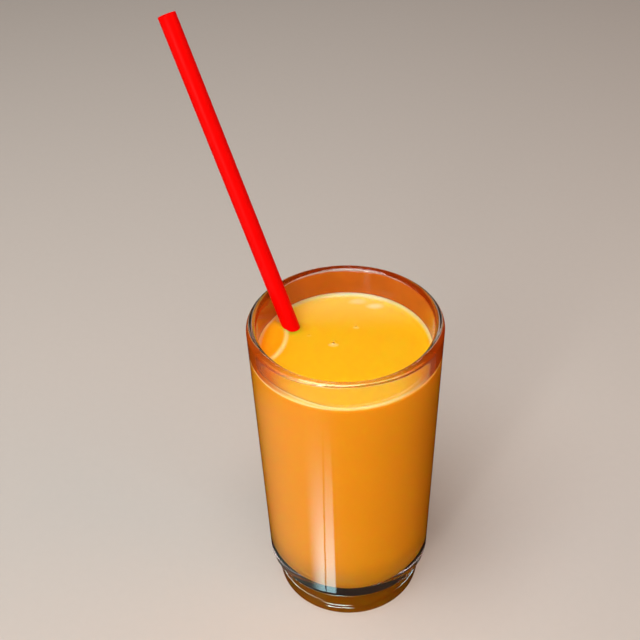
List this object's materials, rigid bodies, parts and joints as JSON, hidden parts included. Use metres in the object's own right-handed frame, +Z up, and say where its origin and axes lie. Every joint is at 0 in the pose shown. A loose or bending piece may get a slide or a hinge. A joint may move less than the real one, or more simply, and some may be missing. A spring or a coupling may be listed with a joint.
{
  "type": "mango lassi in a glass with a straw",
  "caption": "Footed tumbler of mango lassi, filled to just under its rounded lip, with a straight drinking straw leaning on the lip.",
  "frame": {"origin": "centre of the flat underside of the glass's foot", "axes": "+Z up along the glass's axis; the straw leans over the lip towards -X and +Y"},
  "size_m": [0.0906, 0.0746, 0.2156],
  "materials": {
    "clear_glass": "clear, polished",
    "mango_lassi": "opaque, creamy, wet surface",
    "red_plastic": "smooth, soft sheen"
  },
  "bodies": {
    "root": {"glass": "clear_glass", "lassi": "mango_lassi", "straw": "red_plastic"}
  },
  "joints": []
}
